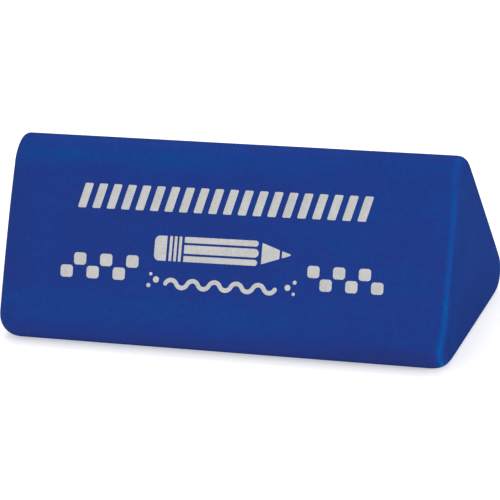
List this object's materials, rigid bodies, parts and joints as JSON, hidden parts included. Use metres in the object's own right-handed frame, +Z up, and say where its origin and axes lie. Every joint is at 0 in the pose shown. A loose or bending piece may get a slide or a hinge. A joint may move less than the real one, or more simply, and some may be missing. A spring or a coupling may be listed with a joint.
{
  "type": "pencil eraser topper",
  "caption": "Rounded triangular-prism vinyl eraser with a blind pencil socket in its end and a pale grey check, stripe and pencil-figure print on a sloping face.",
  "frame": {"origin": "under the middle of the block, on the bottom face's plane", "axes": "+X along the prism, away from the socket; +Z up from the bottom face; the printed sloping face looks towards -Y and up"},
  "size_m": [0.0434, 0.0192, 0.0168],
  "materials": {
    "blue_vinyl": "satin blue vinyl eraser rubber with faint lengthwise streaks",
    "grey_ink": "matte pale grey printed ink"
  },
  "bodies": {
    "root": {"eraser_block": "blue_vinyl", "print_checks_left": "grey_ink", "print_checks_right": "grey_ink", "print_stripes": "grey_ink", "print_pencil_figure": "grey_ink"}
  },
  "joints": []
}
